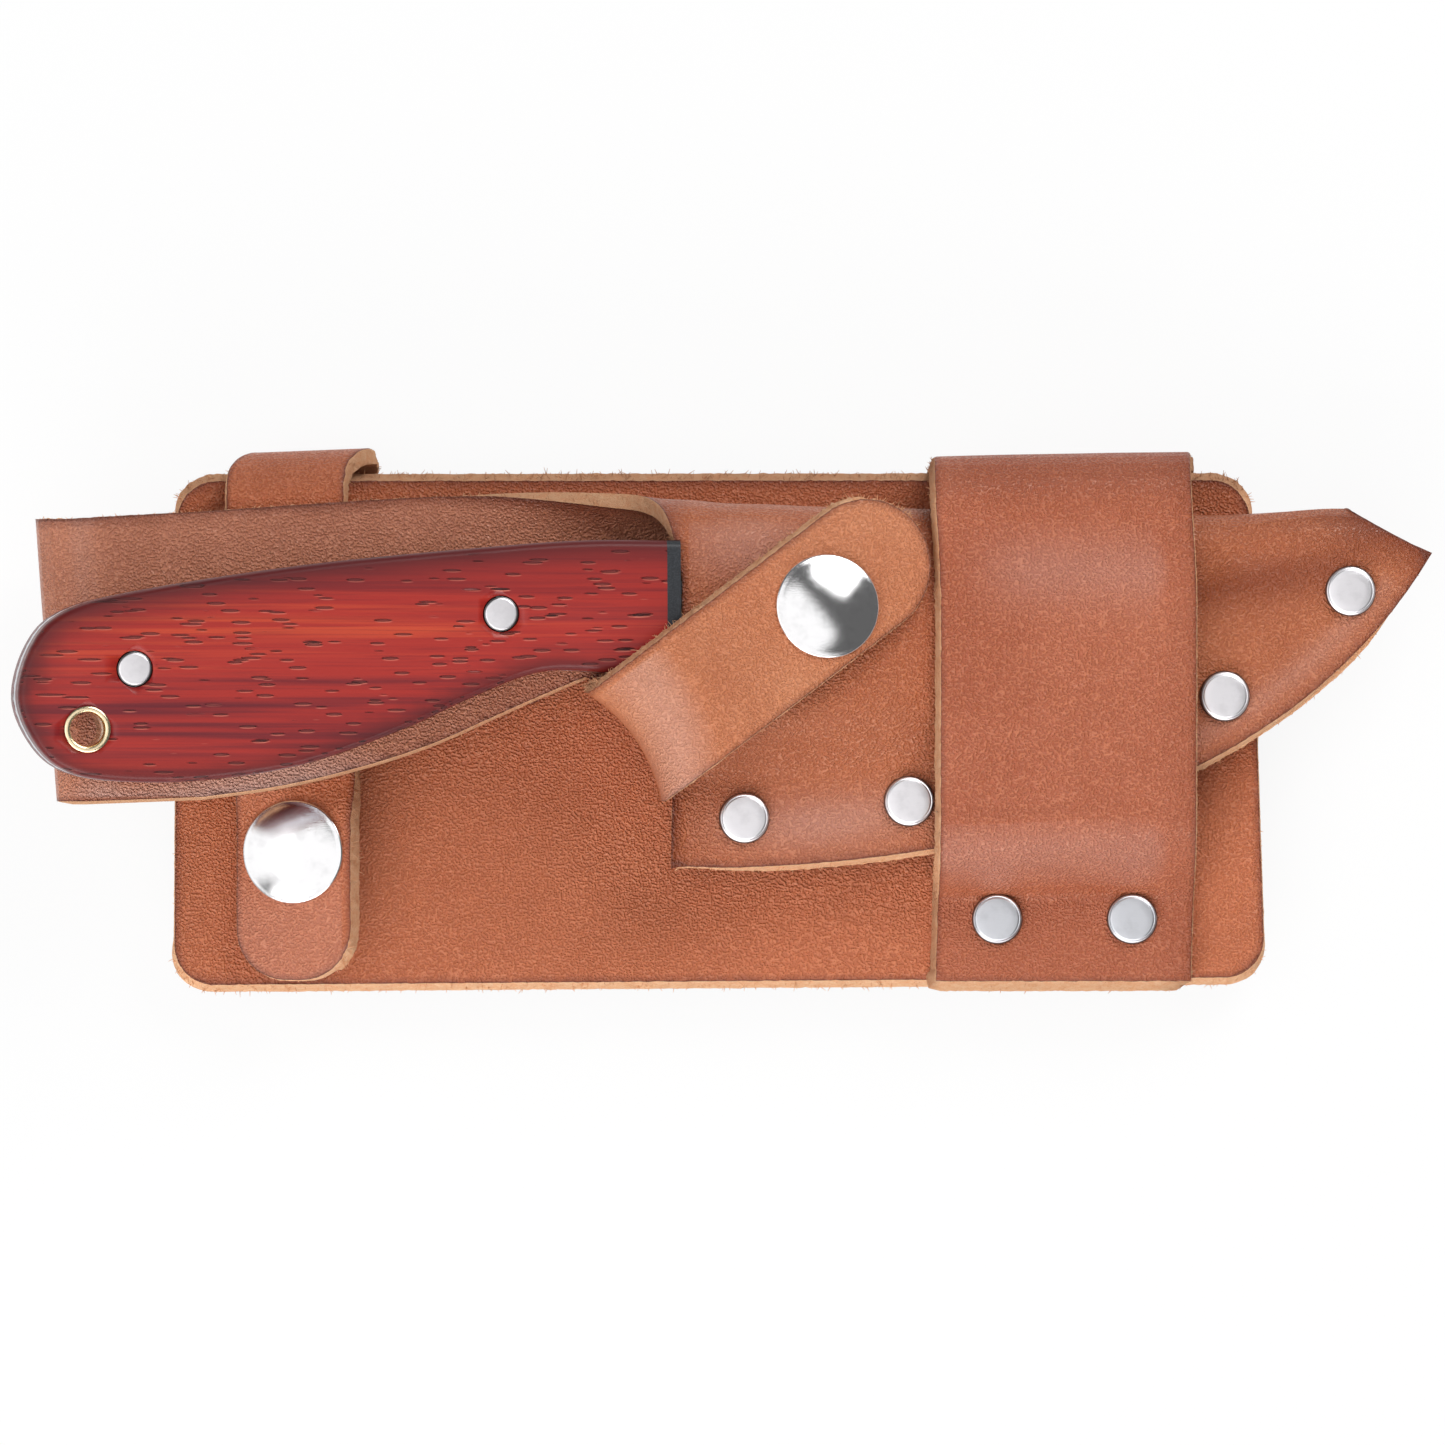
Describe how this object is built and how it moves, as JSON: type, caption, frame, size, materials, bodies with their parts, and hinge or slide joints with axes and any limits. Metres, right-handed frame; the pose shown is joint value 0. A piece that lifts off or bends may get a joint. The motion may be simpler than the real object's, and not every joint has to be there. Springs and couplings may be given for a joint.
{
  "type": "belt knife with sheath",
  "caption": "Fixed-blade belt knife with red wood scales in a riveted tan leather sheath, held on a leather belt panel by a wide band and snap straps.",
  "frame": {"origin": "middle of the whole object in plan, on the plane of the straps that lie on the surface behind it", "axes": "+X along the knife towards the blade point, +Y towards the upper edge of the belt panel, +Z out of the front of the panel"},
  "size_m": [0.2505, 0.0954, 0.0511],
  "materials": {
    "blade_steel": "satin ground steel",
    "red_wood": "polished red hardwood with dark stripes and open pores",
    "black_bolster": "satin black laminate",
    "pin_steel": "ground pin ends",
    "brass_tube": "polished brass",
    "sheath_leather": "vegetable-tanned leather, fine grain, burnished edges",
    "strap_leather": "vegetable-tanned strap leather, lighter tan, raw cut edges",
    "panel_leather": "vegetable-tanned leather, fine grain, raw cut edges",
    "nickel": "nickel-plated",
    "snap_chrome": "bright nickel-plated dome"
  },
  "bodies": {
    "carrier": {"sheath_back": "sheath_leather", "sheath_front": "sheath_leather", "welt": "sheath_leather", "sheath_rivet_caps": "nickel", "sheath_rivet_posts": "nickel", "back_rivet_caps": "nickel", "back_rivet_posts": "nickel", "retention_strap_base": "strap_leather", "retention_snap_stud": "nickel", "retention_snap_post": "nickel", "belt_panel": "panel_leather", "band_strap": "panel_leather", "band_rivet_caps": "nickel", "band_rivet_posts": "nickel", "keeper_strap": "strap_leather", "keeper_snap_stud": "nickel", "keeper_snap_post": "nickel"},
    "knife": {"blade": "blade_steel", "front_scale": "red_wood", "rear_scale": "red_wood", "front_bolster": "black_bolster", "rear_bolster": "black_bolster", "handle_pins": "pin_steel", "lanyard_tube": "brass_tube"},
    "retention_flap": {"retention_strap_flap": "strap_leather", "retention_snap_cap": "snap_chrome", "retention_snap_socket": "nickel"},
    "keeper_end": {"keeper_tail": "strap_leather", "keeper_snap_cap": "snap_chrome", "keeper_snap_socket": "nickel"}
  },
  "joints": [
    {"name": "knife_slide", "type": "slide", "parent": "carrier", "child": "knife", "axis": [-0.9941, 0, 0.1088], "range_m": [0, 0.11]},
    {"name": "retention_hinge", "type": "hinge", "parent": "carrier", "child": "retention_flap", "pos_m": [-0.01653, -0.00444, 0.02258], "axis": [0.5745, -0.8181, -0.0245], "range_deg": [0, 100]},
    {"name": "keeper_hinge", "type": "hinge", "parent": "carrier", "child": "keeper_end", "pos_m": [-0.07578, -0.01391, 0.0178], "axis": [-0.98, -0.1988, 0], "range_deg": [0, 60]}
  ]
}
